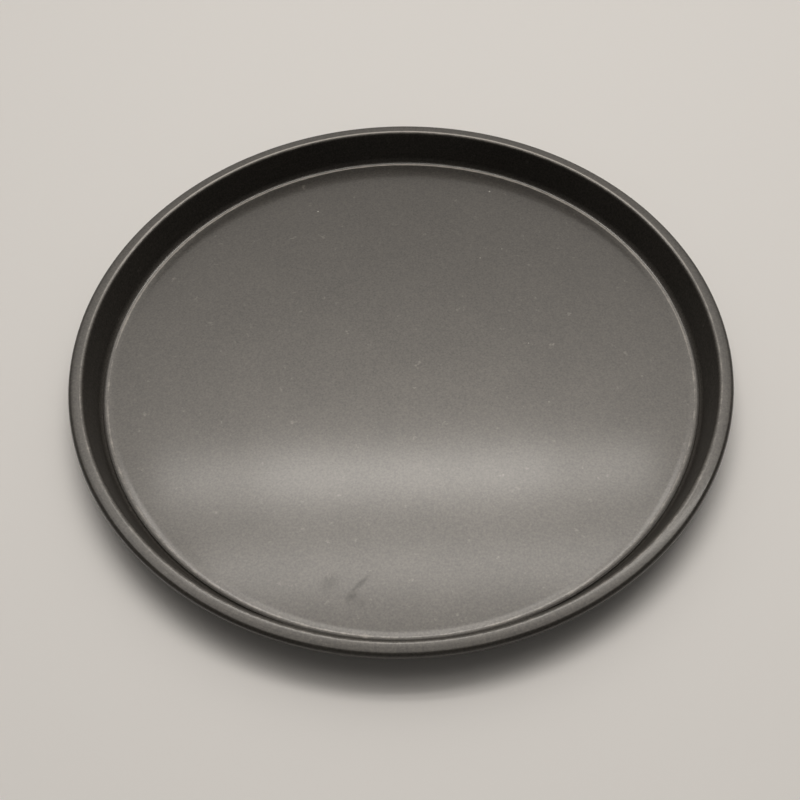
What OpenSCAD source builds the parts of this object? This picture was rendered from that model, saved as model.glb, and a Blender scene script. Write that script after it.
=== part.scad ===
// Tart pan: a pressed side ring with a rolled rim, and a loose base that lifts out of it.
// Millimetres, +Z up. The origin is on the pan's axis, in the plane that the ledge stands on.

/* [Overall size] */
// Outer diameter, over the rolled rim
outer_d = 290; // [200:1:340]
// Depth of the well, from the top of the loose base to the top of the rim
well_depth = 15.5; // [12:0.5:40]
// Lean of the wall, outwards from upright, in degrees
wall_lean = 14.5; // [4:0.5:30]

/* [Side ring] */
// Thickness of the ring's sheet
ring_sheet = 0.6; // [0.5:0.1:0.8]
// Breadth of the flat ledge that carries the loose base
ledge_w = 9; // [5:0.5:14]
// Inside radius of the corner between ledge and wall
corner_r = 3.5; // [3.5:0.1:4.5]

/* [Rolled rim] */
// Breadth of the flat band between the top bend and the roll
band_w = 3; // [2.5:0.1:6]
// Fall of the band towards the roll, in degrees
band_fall = 2.5; // [0:0.5:6]
// Outside radius of the top bend, from wall to band
top_bend_r = 1.8; // [1.2:0.1:2.5]
// Outside radius of the roll
roll_r = 1.9; // [1.8:0.1:2.6]
// Turn of the roll's cut edge, up into the roll's hollow, in degrees
tuck_turn = 70; // [30:5:80]
// Gap between the tucked-in cut edge and the wall
tuck_gap = 0.8; // [0.5:0.1:1.5]

/* [Loose base] */
// Thickness of the base's sheet
base_sheet = 0.6; // [0.5:0.1:0.6]
// Inside radius of the slow rise that leads up to the base's edge
lead_r = 35; // [20:1:60]
// Turn of that rise, in degrees
lead_turn = 3; // [2:0.5:5]
// Length of the flat between the rise and the edge's bend
lead_flat = 0.3; // [0.3:0.1:1]
// Inside radius of the base's turned-up edge
edge_r = 2.6; // [1.6:0.1:2.6]
// Turn of the base's edge, upwards, in degrees
edge_turn = 42; // [20:1:50]
// Gap between the turned-up edge and the ring's corner
edge_gap = 0.3; // [0.3:0.05:0.6]
// Air between the base and the ledge that it lies on
seat_gap = 0.01; // [0.01:0.01:0.05]

/* [Hidden] */

// Steel sheet under a dark non-stick coat
coat = [0.2, 0.195, 0.19];
// Facets round the pan, and facets of a full circle in the sheets' sections
round_fn = 240;
bend_fn = 96;
// Every bend stands this much proud of the stretches beside it, so that their faces cross and merge
proud = 0.0005;

// Turn from the ledge up into the wall
wall_turn = 90 - wall_lean;

// Radii of the ring's bends, on the middle of its sheet
corner_mid = corner_r + ring_sheet / 2;
top_bend_mid = top_bend_r - ring_sheet / 2;
roll_mid = roll_r - ring_sheet / 2;
tuck_mid = ring_sheet;

// Length of the wall's straight stretch, from the height that is left between its two bends
top_z = ring_sheet / 2 + seat_gap + base_sheet + well_depth;
wall_top_z = top_z - top_bend_mid * (1 - cos(wall_turn));
wall_foot_z = ring_sheet / 2 + corner_mid * (1 - cos(wall_turn));
wall_len = (wall_top_z - wall_foot_z) / sin(wall_turn);

// Radius at which each stretch of the ring's sheet begins, from the outer edge inwards
roll_at = outer_d / 2 - ring_sheet / 2 - roll_mid * (1 - sin(band_fall));
band_at = roll_at - band_w;
wall_top_at = band_at - top_bend_mid * (sin(wall_turn) + sin(band_fall));
wall_foot_at = wall_top_at - wall_len * cos(wall_turn);
corner_at = wall_foot_at - corner_mid * sin(wall_turn);
ledge_at = corner_at - ledge_w;

// Flat under the roll: it ends where the tucked-in edge stays tuck_gap off the wall
roll_z = top_z - top_bend_mid * (1 - cos(band_fall)) - band_w * tan(band_fall);
tuck_z = roll_z - roll_mid * (1 + cos(band_fall));
tuck_at = roll_at - roll_mid * sin(band_fall);
wall_back_at = wall_top_at - (wall_top_z - tuck_z) * tan(wall_lean) + ring_sheet / 2 / cos(wall_lean);
tuck_reach = (tuck_mid + ring_sheet / 2) * sin(tuck_turn);
tuck_len = tuck_at - tuck_reach - tuck_gap - wall_back_at;

// Flat of the loose base: its edge, whose underside rises and runs this much, ends edge_gap off
// the ring's corner
lead_outer_r = lead_r + base_sheet;
edge_outer_r = edge_r + base_sheet;
edge_rise = lead_outer_r * (1 - cos(lead_turn)) + lead_flat * sin(lead_turn)
    + edge_outer_r * (cos(lead_turn) - cos(edge_turn));
edge_run = lead_outer_r * sin(lead_turn) + lead_flat * cos(lead_turn)
    + edge_outer_r * (sin(edge_turn) - sin(lead_turn));
edge_reach = sqrt(pow(corner_r - edge_gap, 2) - pow(corner_r - seat_gap - edge_rise, 2));
base_flat_r = corner_at + edge_reach - edge_run;

// Straight stretch of a sheet, along +X. Its children carry the sheet on from its far end.
module stretch(len, sheet) {
    translate([0, -sheet / 2])
        square([len, sheet]);
    translate([len, 0])
        children();
}

// Bend of a sheet that arrives along +X: a positive turn goes up, a negative one goes down.
// Its children carry the sheet on from its far end, in the new direction.
module bend(mid_r, turn, sheet) {
    side = sign(turn);
    lap = sqrt(2 * mid_r * proud);
    lap_turn = side * lap / mid_r * 180 / PI;
    stretch_ends = $children > 0 ? 2 : 1;
    lap_piece(lap, sheet);
    translate([0, side * mid_r]) {
        intersection() {
            difference() {
                circle(r = mid_r + sheet / 2 + proud, $fn = bend_fn);
                circle(r = mid_r - sheet / 2 + proud, $fn = bend_fn);
            }
            wedge(mid_r + sheet, -side * 90 - lap_turn, turn + stretch_ends * lap_turn);
        }
        if ($children > 0)
            rotate(turn)
                translate([0, -side * mid_r]) {
                    lap_piece(lap, sheet);
                    children();
                }
    }
}

// Short piece of straight sheet over the line where a stretch and a bend meet
module lap_piece(lap, sheet) {
    translate([-lap, -sheet / 2])
        square([2 * lap, sheet]);
}

// Pie slice that holds all of a bend: it starts at the angle first and goes through the angle turn
module wedge(reach, first, turn) {
    far = reach / cos(turn / 8);
    polygon(concat([[0, 0]], [for (k = [0:4]) far * [cos(first + turn * k / 4), sin(first + turn * k / 4)]]));
}

// Side ring: one sheet through ledge, corner, leaning wall, top bend, band, roll and tucked-in edge
module side_ring() {
    color(coat)
        rotate_extrude($fn = round_fn)
            translate([ledge_at, ring_sheet / 2])
                stretch(ledge_w, ring_sheet)
                bend(corner_mid, wall_turn, ring_sheet)
                stretch(wall_len, ring_sheet)
                bend(top_bend_mid, -wall_turn - band_fall, ring_sheet)
                stretch(band_w / cos(band_fall), ring_sheet)
                bend(roll_mid, band_fall - 180, ring_sheet)
                stretch(tuck_len, ring_sheet)
                bend(tuck_mid, -tuck_turn, ring_sheet);
}

// Loose base: a flat disc that lies on the ledge, with a softly turned-up edge that nests in the corner
module loose_base() {
    color(coat)
        rotate_extrude($fn = round_fn)
            translate([0, ring_sheet + seat_gap + base_sheet / 2])
                stretch(base_flat_r, base_sheet)
                bend(lead_r + base_sheet / 2, lead_turn, base_sheet)
                stretch(lead_flat, base_sheet)
                bend(edge_r + base_sheet / 2, edge_turn - lead_turn, base_sheet);
}

side_ring();
loose_base();
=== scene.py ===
"""Tart pan: a pressed side ring with a rolled rim, and a loose base that lifts out of it."""
import bpy
import math
import numpy as np
from mathutils import Matrix, Vector


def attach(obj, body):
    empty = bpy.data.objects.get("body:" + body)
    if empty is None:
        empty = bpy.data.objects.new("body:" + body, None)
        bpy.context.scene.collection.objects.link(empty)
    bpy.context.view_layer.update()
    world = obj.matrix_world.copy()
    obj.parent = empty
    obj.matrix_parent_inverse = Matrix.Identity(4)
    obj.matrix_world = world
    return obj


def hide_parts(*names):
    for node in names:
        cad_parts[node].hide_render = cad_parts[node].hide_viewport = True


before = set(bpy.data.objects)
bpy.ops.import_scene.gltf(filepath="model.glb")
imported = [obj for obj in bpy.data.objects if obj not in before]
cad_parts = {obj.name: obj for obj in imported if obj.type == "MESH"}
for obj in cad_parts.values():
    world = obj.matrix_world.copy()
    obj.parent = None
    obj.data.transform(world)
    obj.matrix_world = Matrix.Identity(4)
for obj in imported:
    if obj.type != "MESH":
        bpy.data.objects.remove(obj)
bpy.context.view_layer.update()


# --- Side ring -------------------------------------------------------------------------------
# One strip of thin steel, pressed into a ledge, a corner and a leaning wall. Its top is spun
# outwards over a soft shoulder into a nearly flat band, and down into a roll, whose cut edge is
# tucked in under it. A dark satin non-stick coat is sprayed and baked on afterwards.

ring_sheet = 0.0006
ring_outer_r = 0.14499
ring_high = 0.0167
ledge_wide = 0.009
corner_r = 0.0038
wall_turn = math.radians(75.5)
top_bend_r = 0.0011
brow_turn = math.radians(45)
shoulder_r = 0.003
shoulder_turn = math.radians(22)
band_crown_r = 0.031
band_rise = math.radians(0.5)
band_fall = math.radians(5)
roll_r = 0.0016
tuck_r = 0.0006
tuck_turn = math.radians(70)
tuck_gap = 0.0008

# Heights on the middle of the sheet: the wall fills what its two bends leave between them
top_z = ring_high - ring_sheet / 2
roll_z = top_z - band_crown_r * (1 - math.cos(band_fall))
tuck_z = roll_z - roll_r * (1 + math.cos(band_fall))
wall_top_z = (top_z - band_crown_r * (1 - math.cos(band_rise))
              - shoulder_r * (math.cos(band_rise) - math.cos(shoulder_turn))
              - top_bend_r * (math.cos(shoulder_turn) - math.cos(wall_turn)))
wall_foot_z = ring_sheet / 2 + corner_r * (1 - math.cos(wall_turn))
wall_long = (wall_top_z - wall_foot_z) / math.sin(wall_turn)

# Distances from the axis, from the outer edge inwards
roll_at = ring_outer_r - ring_sheet / 2 - roll_r * (1 - math.sin(band_fall))
wall_top_at = (roll_at - band_crown_r * (math.sin(band_fall) + math.sin(band_rise))
               - shoulder_r * (math.sin(shoulder_turn) - math.sin(band_rise))
               - top_bend_r * (math.sin(wall_turn) - math.sin(shoulder_turn)))
corner_at = wall_top_at - wall_long * math.cos(wall_turn) - corner_r * math.sin(wall_turn)
wall_back_at = (wall_top_at - (wall_top_z - tuck_z) / math.tan(wall_turn)
                + ring_sheet / 2 / math.sin(wall_turn))
tuck_long = (roll_at - roll_r * math.sin(band_fall) - tuck_gap - wall_back_at
             - (tuck_r + ring_sheet / 2) * math.sin(tuck_turn))


def sheet_course(start, steps):
    """Middle line of a bent sheet: its points, its headings and its wear, part painted highlight.

    A step is a length to run straight on, or a bend: its radius, its turn and how worn it is.
    On some bends that wear is also a painted highlight.
    A bend's points are its centre plus the radius times (sine, minus cosine) of the heading,
    the other way round for a turn to the right, and its wear rises and falls over it as the
    square of half a sine wave. A straight run has a point just inside each end, which keeps
    it flat.
    """
    near, bend_step = 0.00025, math.radians(5.5)
    place, heading = np.array(start, float), 0.0
    points, headings, wears_and_highlights = [place[None]], [np.zeros(1)], [np.zeros(1)]
    for step in steps:
        if np.isscalar(step):
            along = np.array([near, step - near, step]) if step > 3 * near else np.array([step])
            points.append(place + along[:, None] * [math.cos(heading), math.sin(heading)])
            headings.append(np.full(len(along), heading))
            wears_and_highlights.append(np.zeros(len(along)))
        else:
            radius, turn, worn_and_highlight = step
            side = math.copysign(1, turn)
            share = np.arange(1, math.ceil(abs(turn) / bend_step) + 4)
            share = share / share[-1]
            angle = heading + turn * share
            centre = place + side * radius * np.array([-math.sin(heading), math.cos(heading)])
            points.append(centre + side * radius * np.stack([np.sin(angle), -np.cos(angle)], 1))
            headings.append(angle)
            wears_and_highlights.append(worn_and_highlight * np.sin(np.pi * share) ** 2)
            heading += turn
        place = points[-1][-1]
    return np.concatenate(points), np.concatenate(headings), np.concatenate(wears_and_highlights)


def sheet_outline(course, sheet, both_cut):
    """Closed outline of a bent sheet and the wear along it, part painted highlight, anticlockwise.

    Its two faces are the middle line plus and minus half the sheet, square to the heading. A
    cut end is half an ellipse, as deep as a quarter of the sheet, inside the sheet's length. It
    is a little worn, because the coat is thin on a cut.
    """
    cut_points, cut_wear = 6, 0.1
    line, heading, wear_and_highlight = course
    ahead = np.stack([np.cos(heading), np.sin(heading)], 1)
    across = np.stack([-np.sin(heading), np.cos(heading)], 1) * sheet / 2
    depth = sheet / 4
    line = line.copy()
    line[-1] -= ahead[-1] * depth
    if both_cut:
        line[0] += ahead[0] * depth
    sweep = np.pi * np.arange(1, cut_points + 1)[:, None] / (cut_points + 1)
    far_cut = line[-1] - across[-1] * np.cos(sweep) + ahead[-1] * depth * np.sin(sweep)
    near_cut = line[0] + across[0] * np.cos(sweep) - ahead[0] * depth * np.sin(sweep)
    worn_and_highlight = np.full(cut_points, cut_wear)
    parts = [(line + across)[::-1], near_cut, line - across, far_cut]
    wears_and_highlights = [wear_and_highlight[::-1], worn_and_highlight, wear_and_highlight, worn_and_highlight]
    if not both_cut:
        del parts[1], wears_and_highlights[1]
    return np.concatenate(parts), np.concatenate(wears_and_highlights)


def turned_piece(name, outline, wear_and_highlight, spokes=384):
    """Outline carried once round the axis: x and y are its distance times cosine and sine.

    Points of the outline on the axis become one vertex each, closed by a fan of triangles. The
    wear, which also carries a painted highlight, goes into the vertices as an attribute.
    """
    count = len(outline)
    angle = 2 * np.pi * np.arange(spokes)[:, None] / spokes
    grid = np.stack([outline[:, 0] * np.cos(angle), outline[:, 0] * np.sin(angle),
                     np.broadcast_to(outline[:, 1], (spokes, count))], 2)
    index = np.arange(spokes * count).reshape(spokes, count)
    on_axis = np.flatnonzero(outline[:, 0] < 1e-9)
    index[:, on_axis] = index[:1, on_axis]
    right = np.roll(index, -1, 0)
    quads = np.stack([index, right, np.roll(right, -1, 1), np.roll(index, -1, 1)], 2)
    between = np.all([np.isin(np.arange(count), on_axis),
                      np.isin((np.arange(count) + 1) % count, on_axis)], 0)
    quads = quads[:, ~between].reshape(-1, 4)
    corners = quads.ravel()
    keep = np.ones((len(quads), 4), bool)
    keep[:, 1] = quads[:, 1] != quads[:, 0]
    keep[:, 2] = quads[:, 2] != quads[:, 3]
    used, loops = np.unique(corners[keep.ravel()], return_inverse=True)
    sizes = keep.sum(1)

    mesh = bpy.data.meshes.new(name)
    mesh.vertices.add(len(used))
    mesh.vertices.foreach_set("co", grid.reshape(-1, 3)[used].ravel())
    mesh.loops.add(len(loops))
    mesh.loops.foreach_set("vertex_index", loops)
    mesh.polygons.add(len(sizes))
    mesh.polygons.foreach_set("loop_start", np.concatenate([[0], np.cumsum(sizes)[:-1]]))
    mesh.polygons.foreach_set("use_smooth", np.ones(len(sizes), bool))
    mesh.attributes.new("wear_and_highlight", "FLOAT", "POINT").data.foreach_set(
        "value", np.tile(wear_and_highlight, spokes)[used])
    mesh.update(calc_edges=True)
    mesh.validate()
    piece = bpy.data.objects.new(name, mesh)
    bpy.context.scene.collection.objects.link(piece)
    return piece


# A bend's last number is its wear: real rubbing, and a painted highlight along the rim lines
ring_course = sheet_course((corner_at - ledge_wide, ring_sheet / 2), [
    ledge_wide,
    (corner_r, wall_turn, 0.0),
    wall_long,
    (top_bend_r, brow_turn - wall_turn, 0.0),
    (top_bend_r, shoulder_turn - brow_turn, 0.2),
    (shoulder_r, band_rise - shoulder_turn, 0.5),
    (band_crown_r, -band_fall - band_rise, 0.0),
    (roll_r, band_fall - math.pi, 0.05),
    tuck_long,
    (tuck_r, -tuck_turn, 0.2)])
side_ring = turned_piece("pressed_side_ring", *sheet_outline(ring_course, ring_sheet, True))


def new_group(name, takes, gives):
    """Empty shader node group with named sockets: pairs of a name and a kind, and a default."""
    group = bpy.data.node_groups.new(name, "ShaderNodeTree")
    for label, kind, value in takes:
        socket = group.interface.new_socket(label, in_out="INPUT", socket_type=kind)
        if value is not None:
            socket.default_value = value
    for label, kind in gives:
        group.interface.new_socket(label, in_out="OUTPUT", socket_type=kind)
    return group, group.nodes.new("NodeGroupInput"), group.nodes.new("NodeGroupOutput")


def add_node(tree, kind, settings=(), inputs=()):
    """Node with its settings, and its inputs set to values or linked to other nodes' sockets."""
    node = tree.nodes.new(kind)
    for label, value in dict(settings).items():
        setattr(node, label, value)
    for label, value in dict(inputs).items():
        if isinstance(value, bpy.types.NodeSocket):
            tree.links.new(value, node.inputs[label])
        else:
            node.inputs[label].default_value = value
    return node


def add_sum(tree, operation, *values, clamp=False):
    """Output of a Math node over the values, each a number or another node's socket."""
    return add_node(tree, "ShaderNodeMath", {"operation": operation, "use_clamp": clamp},
                    dict(enumerate(values))).outputs[0]


def make_coat_grain():
    """Sprayed coat: a fine grain, slow mottling and sparse flecks of metal, painted pale as
    glints.

    Tone is one plus the swings of a fine and a slow noise about their middle, each times its
    amount. Roughness is the plain roughness less a part of the slow swing. Fleck Glints is a mask
    of round specks, one in some of the cells of a Voronoi pattern, for painted glints. Height is
    the fine noise.
    """
    smoother = 0.15
    fleck_core, fleck_rim, cells_bare = 0.06, 0.14, 0.6
    group, takes, gives = new_group(
        "coat_grain",
        [("Place", "NodeSocketVector", None), ("Grain Size", "NodeSocketFloat", 0.0008),
         ("Grain Amount", "NodeSocketFloat", 1.0), ("Mottle Size", "NodeSocketFloat", 0.03),
         ("Mottle Amount", "NodeSocketFloat", 0.3), ("Fleck Spacing", "NodeSocketFloat", 0.002),
         ("Plain Roughness", "NodeSocketFloat", 0.3)],
        [("Tone", "NodeSocketFloat"), ("Roughness", "NodeSocketFloat"),
         ("Fleck Glints", "NodeSocketFloat"), ("Height", "NodeSocketFloat")])
    given = takes.outputs
    grain = add_node(group, "ShaderNodeTexNoise", {}, {
        "Vector": given["Place"], "Scale": add_sum(group, "DIVIDE", 1.0, given["Grain Size"]),
        "Detail": 2.0, "Roughness": 0.6}).outputs["Fac"]
    mottle = add_node(group, "ShaderNodeTexNoise", {}, {
        "Vector": given["Place"], "Scale": add_sum(group, "DIVIDE", 1.0, given["Mottle Size"]),
        "Detail": 3.0, "Roughness": 0.6}).outputs["Fac"]
    grain_swing = add_sum(group, "MULTIPLY", add_sum(group, "SUBTRACT", grain, 0.5),
                          given["Grain Amount"])
    mottle_swing = add_sum(group, "MULTIPLY", add_sum(group, "SUBTRACT", mottle, 0.5),
                           given["Mottle Amount"])
    swing = add_sum(group, "ADD", grain_swing, mottle_swing)
    group.links.new(add_sum(group, "ADD", 1.0, swing), gives.inputs["Tone"])
    group.links.new(add_sum(group, "SUBTRACT", given["Plain Roughness"],
                            add_sum(group, "MULTIPLY", mottle_swing, smoother)),
                    gives.inputs["Roughness"])
    group.links.new(grain, gives.inputs["Height"])

    cells = add_node(group, "ShaderNodeTexVoronoi", {}, {
        "Vector": given["Place"],
        "Scale": add_sum(group, "DIVIDE", 1.0, given["Fleck Spacing"])})
    near = add_node(group, "ShaderNodeMapRange", {}, {
        "Value": cells.outputs["Distance"],
        "From Min": fleck_core, "From Max": fleck_rim, "To Min": 1.0, "To Max": 0.0})
    pick = add_node(group, "ShaderNodeSeparateXYZ", {}, {"Vector": cells.outputs["Color"]})
    chosen = add_sum(group, "GREATER_THAN", pick.outputs["X"], cells_bare)
    group.links.new(add_sum(group, "MULTIPLY", near.outputs["Result"], chosen),
                    gives.inputs["Fleck Glints"])
    return group


def make_wear_highlight_mask():
    """Rubbed coat: where wear meets a fine noise, a mask from none to the given most.

    The mask counts more on the far side. There it is a painted highlight: it brightens the lines
    along the far rim and floor edge, which catch more of the light.
    """
    patches_per_metre = 180.0
    far_reach, near_highlight_share, far_highlight_share = 0.13, 0.5, 2.0
    first_rubbed, fully_rubbed = 0.65, 1.3
    group, takes, gives = new_group(
        "wear_highlight_mask",
        [("Place", "NodeSocketVector", None), ("Wear And Highlight", "NodeSocketFloat", 0.0),
         ("Most", "NodeSocketFloat", 0.3)],
        [("Mask", "NodeSocketFloat")])
    given = takes.outputs
    noise = add_node(group, "ShaderNodeTexNoise", {}, {
        "Vector": given["Place"], "Scale": patches_per_metre, "Detail": 4.0,
        "Roughness": 0.65})
    spot = add_node(group, "ShaderNodeSeparateXYZ", {}, {"Vector": given["Place"]})
    # Painted highlight: the mask is half as strong on the near half and twice as strong at the far
    # edge
    far_side_highlight = add_node(group, "ShaderNodeMapRange", {}, {
        "Value": spot.outputs["Y"], "From Min": 0.0, "From Max": far_reach,
        "To Min": near_highlight_share, "To Max": far_highlight_share})
    worn_and_highlight = add_sum(group, "MULTIPLY", given["Wear And Highlight"], far_side_highlight.outputs["Result"])
    rubbed_and_highlight = add_node(group, "ShaderNodeMapRange", {}, {
        "Value": add_sum(group, "ADD", worn_and_highlight, noise.outputs["Fac"]),
        "From Min": first_rubbed, "From Max": fully_rubbed,
        "To Min": 0.0, "To Max": given["Most"]})
    group.links.new(rubbed_and_highlight.outputs["Result"], gives.inputs["Mask"])
    return group


coat_grain = make_coat_grain()
wear_highlight_mask = make_wear_highlight_mask()
coat_colour = (0.043, 0.039, 0.034, 1)
fleck_glint_colour = (0.34, 0.32, 0.29, 1)
rubbed_highlight_colour = (0.46, 0.43, 0.39, 1)
fleck_glint_share = 0.05
metal_share = 0.4
full_gloss = 0.95
rubbed_rougher = 0.25
grain_depth = 0.000003


def start_coat(name, rubbed_highlight_most):
    """Coated steel: the grain and the rubbed edges, and the shader with what is plain on it.

    Where it is rubbed it turns pale and dull: rougher, and less of a metal. The pale colour is
    partly real wear and partly a painted highlight along the bends of the rim and floor edge.
    """
    coat = bpy.data.materials.new(name)
    coat.use_nodes = True
    tree = coat.node_tree
    shader = tree.nodes["Principled BSDF"]
    place = add_node(tree, "ShaderNodeTexCoord").outputs["Object"]
    wear_and_highlight = add_node(tree, "ShaderNodeAttribute", {"attribute_name": "wear_and_highlight"}).outputs["Fac"]
    grain = add_node(tree, "ShaderNodeGroup", {"node_tree": coat_grain}, {
        "Place": place, "Grain Size": 0.0009, "Grain Amount": 1.9, "Mottle Size": 0.03,
        "Mottle Amount": 0.35, "Fleck Spacing": 0.0022, "Plain Roughness": 0.36})
    rubbed_and_highlight = add_node(tree, "ShaderNodeGroup", {"node_tree": wear_highlight_mask}, {
        "Place": place, "Wear And Highlight": wear_and_highlight, "Most": rubbed_highlight_most}).outputs["Mask"]
    toned = add_node(tree, "ShaderNodeVectorMath", {"operation": "SCALE"}, {
        0: coat_colour[:3], "Scale": grain.outputs["Tone"]}).outputs["Vector"]
    # Painted glints: pale specks for the flecks of metal, mixed into the colour
    flecked = add_node(tree, "ShaderNodeMix", {"data_type": "RGBA"}, {
        0: add_sum(tree, "MULTIPLY", grain.outputs["Fleck Glints"], fleck_glint_share), 6: toned,
        7: fleck_glint_colour}).outputs[2]
    # Pale where rubbed: part real wear of the coat, part a painted highlight along the bends
    colour = add_node(tree, "ShaderNodeMix", {"data_type": "RGBA"}, {
        0: rubbed_and_highlight, 6: flecked, 7: rubbed_highlight_colour}).outputs[2]
    gloss = add_sum(tree, "SUBTRACT", full_gloss, rubbed_and_highlight)
    dulled = add_sum(tree, "ADD", grain.outputs["Roughness"],
                     add_sum(tree, "MULTIPLY", rubbed_and_highlight, rubbed_rougher))
    tree.links.new(add_sum(tree, "MULTIPLY", add_sum(tree, "SUBTRACT", 1.0, rubbed_and_highlight), metal_share),
                   shader.inputs["Metallic"])
    bump = add_node(tree, "ShaderNodeBump", {}, {
        "Height": grain.outputs["Height"], "Strength": 1.0, "Distance": grain_depth})
    tree.links.new(bump.outputs["Normal"], shader.inputs["Normal"])
    shader.inputs["IOR"].default_value = 1.42
    shader.inputs["Coat Roughness"].default_value = 0.14
    shader.inputs["Coat IOR"].default_value = 1.36
    return coat, tree, shader, place, dulled, colour, gloss


ring_coat, tree, shader, place, dulled, colour, gloss = start_coat("ring_coat", 0.6)

# Faint lines of the spinning tool, round and round: a noise of the distance from the axis plus
# the height, which drifts only slowly with the angle
lines_per_metre = 1800.0
line_drift = 0.002
line_swing = 0.5
spot = add_node(tree, "ShaderNodeSeparateXYZ", {}, {"Vector": place})
off_axis = add_sum(tree, "SQRT", add_sum(
    tree, "ADD", add_sum(tree, "MULTIPLY", spot.outputs["X"], spot.outputs["X"]),
    add_sum(tree, "MULTIPLY", spot.outputs["Y"], spot.outputs["Y"])))
round_axis = add_sum(tree, "ARCTAN2", spot.outputs["Y"], spot.outputs["X"])
across_lines = add_node(tree, "ShaderNodeCombineXYZ", {}, {
    "X": add_sum(tree, "ADD", off_axis, spot.outputs["Z"]),
    "Y": add_sum(tree, "MULTIPLY", add_sum(tree, "COSINE", round_axis), line_drift),
    "Z": add_sum(tree, "MULTIPLY", add_sum(tree, "SINE", round_axis), line_drift)})
lines = add_node(tree, "ShaderNodeTexNoise", {}, {
    "Vector": across_lines.outputs["Vector"], "Scale": lines_per_metre, "Detail": 2.0,
    "Roughness": 0.6}).outputs["Fac"]
spun = add_sum(tree, "ADD", 1.0, add_sum(
    tree, "MULTIPLY", add_sum(tree, "SUBTRACT", lines, 0.5), line_swing))

# The spray comes from above. It reaches the steep wall from aside and dries there paler, and the
# lower half of the roll gets little of it: both are rougher, with less gloss
wall_fade = 0.001
roll_fade = 0.0006
dry_paler = 0.25
dry_rougher = 0.2
dry_duller = 0.7
wall_dry = add_node(tree, "ShaderNodeMapRange", {}, {
    "Value": off_axis, "From Min": wall_top_at, "From Max": wall_top_at + wall_fade,
    "To Min": 1.0, "To Max": 0.0}).outputs["Result"]
roll_dry = add_node(tree, "ShaderNodeMapRange", {}, {
    "Value": spot.outputs["Z"], "From Min": roll_z - roll_r - roll_fade,
    "From Max": roll_z - roll_r + roll_fade, "To Min": 1.0, "To Max": 0.0}).outputs["Result"]
dry = add_sum(tree, "MAXIMUM", wall_dry, roll_dry)
paler = add_sum(tree, "ADD", spun, add_sum(tree, "MULTIPLY", wall_dry, dry_paler))
tree.links.new(add_node(tree, "ShaderNodeVectorMath", {"operation": "SCALE"}, {
    0: colour, "Scale": paler}).outputs["Vector"], shader.inputs["Base Color"])
tree.links.new(add_sum(tree, "ADD", dulled, add_sum(tree, "MULTIPLY", dry, dry_rougher)),
               shader.inputs["Roughness"])
duller = add_sum(tree, "SUBTRACT", 1.0, add_sum(tree, "MULTIPLY", dry, dry_duller))
tree.links.new(add_sum(tree, "MULTIPLY", add_sum(tree, "MULTIPLY", gloss, spun), duller),
               shader.inputs["Coat Weight"])
side_ring.data.materials.append(ring_coat)

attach(side_ring, "side_ring")
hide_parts("side_ring")


# --- Loose base ------------------------------------------------------------------------------
# A flat disc of the same coated steel, whose edge is turned up a little in the press. It is not
# fixed: it lies on the ring's ledge, a hair off the corner, and is pushed up from below.

base_sheet = 0.0006
seat_gap = 0.00001
lead_r = 0.035
lead_turn = math.radians(3)
lead_flat = 0.0003
foot_r = 0.011
foot_turn = math.radians(11)
edge_bend_r = 0.0022
edge_turn = math.radians(42)
edge_gap = 0.00025

# The edge's underside rises this much and runs this far, to end edge_gap off the ring's corner
edge_rise = lead_flat * math.sin(lead_turn)
edge_run = lead_flat * math.cos(lead_turn)
for bend_r, start_turn, end_turn in [(lead_r, 0, lead_turn), (foot_r, lead_turn, foot_turn),
                                     (edge_bend_r, foot_turn, edge_turn)]:
    edge_rise += (bend_r + base_sheet / 2) * (math.cos(start_turn) - math.cos(end_turn))
    edge_run += (bend_r + base_sheet / 2) * (math.sin(end_turn) - math.sin(start_turn))
corner_inner_r = corner_r - ring_sheet / 2
edge_reach = math.sqrt((corner_inner_r - edge_gap) ** 2
                       - (corner_inner_r - seat_gap - edge_rise) ** 2)
base_flat_r = corner_at + edge_reach - edge_run

# A bend's last number is its wear: real rubbing, and a painted highlight along the floor edge
base_course = sheet_course((0, ring_sheet + seat_gap + base_sheet / 2), [
    base_flat_r,
    (lead_r, lead_turn, 0.0),
    lead_flat,
    (foot_r, foot_turn - lead_turn, 0.5),
    (edge_bend_r, edge_turn - foot_turn, 0.0)])
loose_base = turned_piece("loose_base_disc", *sheet_outline(base_course, base_sheet, False))

base_coat, tree, shader, place, dulled, colour, gloss = start_coat("base_coat", 1.0)

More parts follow.
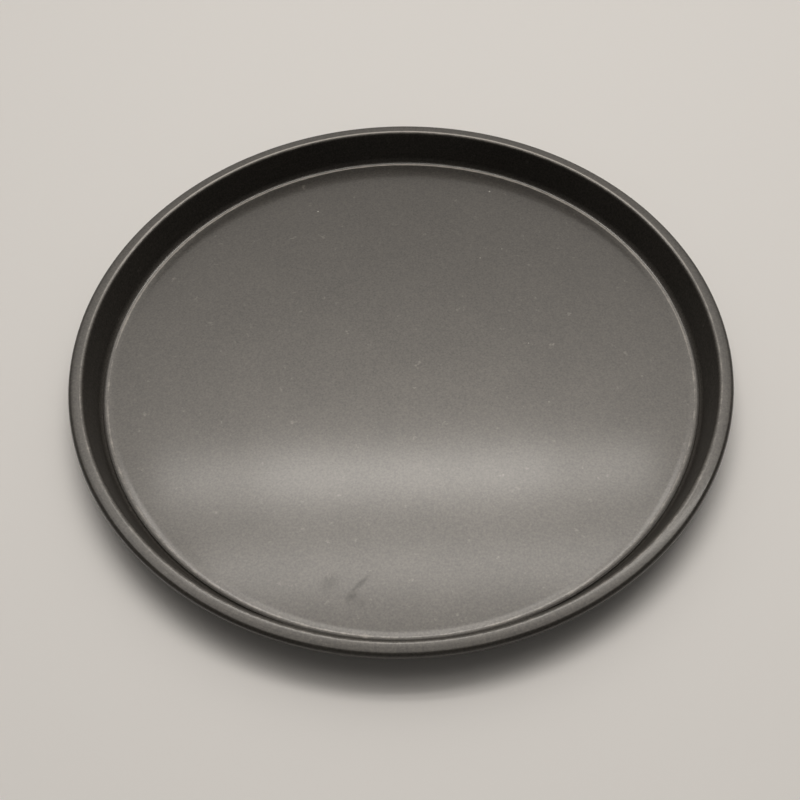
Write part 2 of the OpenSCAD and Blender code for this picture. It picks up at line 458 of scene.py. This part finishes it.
# Greasy finger marks near the front edge: a soft oval each, longer than wide and broken up by
# streaks along it. Each row has its middle, its turn, its half length and half width, its depth.
mark_rows = [(-0.0185, -0.1095, 46, 0.0080, 0.0014, 0.9),
             (-0.0213, -0.1143, 40, 0.0036, 0.0024, 1.0),
             (-0.0300, -0.1081, 50, 0.0056, 0.0042, 0.6),
             (-0.0181, -0.1169, 20, 0.0046, 0.0028, 0.45)]
oval_core, oval_rim = 0.2, 1.15
streak_stretch = (0.8, 3.0, 1.0)
thinnest_grease = 0.35
grease_darker = 0.25
grease_rougher = 0.08
covered_duller = 0.35
marks = 0.0
for middle_x, middle_y, turn, half_long, half_wide, depth in mark_rows:
    oval = add_node(tree, "ShaderNodeMapping", {"vector_type": "TEXTURE"}, {
        "Vector": place, "Location": (middle_x, middle_y, 0),
        "Rotation": (0, 0, math.radians(turn)),
        "Scale": (half_long, half_wide, 1)}).outputs["Vector"]
    streaks = add_node(tree, "ShaderNodeTexNoise", {}, {
        "Vector": add_node(tree, "ShaderNodeVectorMath", {"operation": "MULTIPLY"}, {
            0: oval, 1: streak_stretch}).outputs["Vector"],
        "Scale": 1.6, "Detail": 3.0}).outputs["Fac"]
    length = add_node(tree, "ShaderNodeVectorMath", {"operation": "LENGTH"}, {0: oval})
    inside = add_node(tree, "ShaderNodeMapRange", {"interpolation_type": "SMOOTHSTEP"}, {
        "Value": length.outputs["Value"],
        "From Min": oval_core, "From Max": oval_rim, "To Min": depth, "To Max": 0.0})
    broken = add_node(tree, "ShaderNodeMapRange", {}, {
        "Value": streaks, "From Min": 0.3, "From Max": 0.6,
        "To Min": thinnest_grease, "To Max": 1.0})
    marks = add_sum(tree, "MAXIMUM", marks, add_sum(
        tree, "MULTIPLY", inside.outputs["Result"], broken.outputs["Result"]))

# A few crumbs of dust: a pale dot within each one's reach of its middle
dust_rows = [(-0.0398, 0.0981, 0.00055), (0.0487, 0.1093, 0.00060), (0.0407, 0.0627, 0.00035),
             (0.0518, 0.0684, 0.00030), (0.0593, 0.0087, 0.00030)]
dust_colour = (0.42, 0.40, 0.37, 1)
dust = 0.0
for middle_x, middle_y, reach in dust_rows:
    apart = add_node(tree, "ShaderNodeVectorMath", {"operation": "DISTANCE"}, {
        0: place, 1: (middle_x, middle_y, ring_sheet + seat_gap + base_sheet)})
    dust = add_sum(tree, "MAXIMUM", dust, add_sum(
        tree, "SUBTRACT", 1.0, add_sum(tree, "DIVIDE", apart.outputs["Value"], reach), clamp=True))

darker = add_sum(tree, "SUBTRACT", 1.0, add_sum(tree, "MULTIPLY", marks, grease_darker))
greased = add_node(tree, "ShaderNodeVectorMath", {"operation": "SCALE"}, {
    0: colour, "Scale": darker})
dusted = add_node(tree, "ShaderNodeMix", {"data_type": "RGBA"}, {
    0: dust, 6: greased.outputs["Vector"], 7: dust_colour}).outputs[2]
tree.links.new(dusted, shader.inputs["Base Color"])
tree.links.new(add_sum(tree, "ADD", dulled, add_sum(tree, "MULTIPLY", marks, grease_rougher)),
               shader.inputs["Roughness"])
covered = add_sum(tree, "MAXIMUM", marks, dust)
duller = add_sum(tree, "SUBTRACT", 1.0, add_sum(tree, "MULTIPLY", covered, covered_duller))
tree.links.new(add_sum(tree, "MULTIPLY", gloss, duller), shader.inputs["Coat Weight"])
loose_base.data.materials.append(base_coat)

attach(loose_base, "loose_base")
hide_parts("loose_base")


# --- Table -----------------------------------------------------------------------------------
# A smooth board, painted in a warm off-white with little gloss. It only carries the pan, and it
# reaches far past it on every side.

table_half = 20.0
table_colour = (0.80, 0.79, 0.78, 1)
table_mesh = bpy.data.meshes.new("table")
table_mesh.from_pydata([(-table_half, -table_half, 0), (table_half, -table_half, 0),
                        (table_half, table_half, 0), (-table_half, table_half, 0)],
                       [], [(0, 1, 2, 3)])
table = bpy.data.objects.new("table", table_mesh)
bpy.context.scene.collection.objects.link(table)
table_paint = bpy.data.materials.new("table_paint")
table_paint.use_nodes = True
shader = table_paint.node_tree.nodes["Principled BSDF"]
shader.inputs["Base Color"].default_value = table_colour
shader.inputs["Roughness"].default_value = 0.6
table_mesh.materials.append(table_paint)


# --- Lamps and room --------------------------------------------------------------------------
# Two tubes hanging under one pale ceiling panel beyond the pan, the first dimmer at its ends, and
# a room that is brightest round the panel and darkest low down on the near side.

lamp_tint = (1.0, 0.955, 0.90)


def ceiling_lamp(name, over, turn, far, across, wide, deep, radiance):
    """Rectangular lamp, as far as given from a point of the pan and facing it.

    Its direction is turned up from the far horizon: (0, cosine, sine) of the turn. Its power is
    its radiance times pi times its area.
    """
    light = bpy.data.lights.new(name, "AREA")
    light.shape = "RECTANGLE"
    light.size, light.size_y = wide, deep
    light.energy = math.pi * wide * deep * radiance
    light.color = lamp_tint
    lamp = bpy.data.objects.new(name, light)
    ahead = Vector((0, math.cos(turn), math.sin(turn)))
    lamp.location = Vector((across, over, 0)) + ahead * far
    lamp.rotation_mode = "QUATERNION"
    lamp.rotation_quaternion = (-ahead).to_track_quat("-Z", "Y")
    bpy.context.scene.collection.objects.link(lamp)


tube_turn = math.radians(59.0)
ceiling_lamp("tube_lamp", -0.060, tube_turn, 1.2, 0.004, 0.46, 0.071, 12.0)
ceiling_lamp("tube_left_end", -0.060, tube_turn, 1.2, -0.311, 0.17, 0.071, 7.5)
ceiling_lamp("tube_right_end", -0.060, tube_turn, 1.2, 0.319, 0.17, 0.071, 7.5)
ceiling_lamp("second_tube_lamp", -0.105, math.radians(64.3), 1.2, 0.25, 1.15, 0.064, 6.8)
ceiling_lamp("panel_lamp", -0.105, math.radians(64.5), 1.3, 0.062, 1.50, 0.336, 0.56)

room = bpy.data.worlds.new("room")
bpy.context.scene.world = room
room.use_nodes = True
tree = room.node_tree
towards = add_node(tree, "ShaderNodeSeparateXYZ", {}, {
    "Vector": add_node(tree, "ShaderNodeTexCoord").outputs["Generated"]})
turn_share = add_sum(tree, "DIVIDE", add_sum(tree, "ARCTAN2", towards.outputs["Z"],
                                              towards.outputs["Y"]), math.pi)
room_tint = (1.0, 0.95, 0.885)

# Levels of the room, each at its turn in degrees: straight ahead, further aside, at the sides
brightest = 2.8
straight_levels = [(0, 0.15), (22, 0.45), (34, 1.05), (42, 1.0), (48, 1.65), (56, 2.8), (65, 2.5),
                   (74, 1.5), (84, 1.15), (92, 0.35), (102, 0.12), (130, 0.06), (165, 0.25),
                   (180, 0.3)]
aside_levels = [(0, 0.1), (25, 0.5), (44, 0.7), (54, 0.35), (65, 0.2), (80, 0.13), (100, 0.1),
                (125, 0.07), (180, 0.03)]
side_level = 0.15
aside_from, aside_full = 0.34, 0.50
side_from, side_full = 0.55, 0.92


def room_ramp(levels):
    """Colour of the room by its turn up from the far horizon, over the top, to the near one."""
    ramp = add_node(tree, "ShaderNodeValToRGB", {}, {"Fac": turn_share})
    for turn, level in levels[1:-1]:
        ramp.color_ramp.elements.new(turn / 180)
    for element, (turn, level) in zip(ramp.color_ramp.elements, levels):
        element.position = turn / 180
        element.color = [level / brightest * part for part in room_tint] + [1]
    return ramp.outputs["Color"]


sideways = add_sum(tree, "ABSOLUTE", towards.outputs["X"])
aside = add_node(tree, "ShaderNodeMapRange", {}, {
    "Value": sideways, "From Min": aside_from, "From Max": aside_full})
side_wall = add_node(tree, "ShaderNodeMapRange", {"interpolation_type": "SMOOTHSTEP"}, {
    "Value": sideways, "From Min": side_from, "From Max": side_full})
room_colour = add_node(tree, "ShaderNodeMix", {"data_type": "RGBA"}, {
    0: aside.outputs["Result"], 6: room_ramp(straight_levels),
    7: room_ramp(aside_levels)}).outputs[2]
background = tree.nodes["Background"]
background.inputs["Strength"].default_value = brightest
tree.links.new(add_node(tree, "ShaderNodeMix", {"data_type": "RGBA"}, {
    0: side_wall.outputs["Result"], 6: room_colour,
    7: [side_level / brightest * part for part in room_tint] + [1]}).outputs[2],
    background.inputs["Color"])


# --- Camera ----------------------------------------------------------------------------------
# Held over the near edge, looking steeply down into the pan. It is tilted a little to one side,
# as a camera in the hands is.

camera_lens = bpy.data.cameras.new("camera")
camera_lens.sensor_width = 36
camera_lens.lens = 45
camera_lens.clip_start = 0.01
camera = bpy.data.objects.new("camera", camera_lens)
camera.location = (0, -0.27682, 0.36217)
aim = Vector((-0.0005, -0.0217, 0.00171))
tilt = Matrix.Rotation(math.radians(-1.675), 3, "Z")
camera.rotation_mode = "QUATERNION"
camera.rotation_quaternion = ((aim - camera.location).to_track_quat("-Z", "Y")
                              @ tilt.to_quaternion())
bpy.context.scene.collection.objects.link(camera)
bpy.context.scene.camera = camera
bpy.context.scene.view_settings.view_transform = "Standard"
